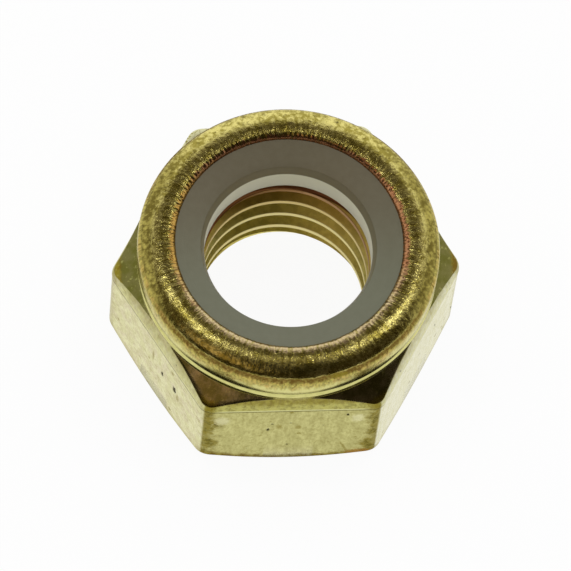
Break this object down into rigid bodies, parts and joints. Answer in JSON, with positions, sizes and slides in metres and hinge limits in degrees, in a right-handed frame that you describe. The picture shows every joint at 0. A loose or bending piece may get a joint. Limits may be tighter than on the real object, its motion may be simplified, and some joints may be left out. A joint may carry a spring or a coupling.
{
  "type": "nylon insert hexagon lock nut",
  "caption": "Hexagon lock nut: a chamfered steel hexagon with a crimped round collar that holds a nylon locking ring above a right-hand threaded bore.",
  "frame": {"origin": "centre of the flat bearing face, on the thread's axis", "axes": "+Z along the thread's axis from the bearing face to the collar; -Y is the outward normal of one wrench flat; +X runs along that flat"},
  "size_m": [0.0216, 0.019, 0.0122],
  "materials": {
    "plated_steel": "yellow passivated zinc plating, slightly worn",
    "nylon": "smooth natural nylon, greyish"
  },
  "bodies": {
    "root": {"nut_body": "plated_steel", "nylon_insert": "nylon"}
  },
  "joints": []
}
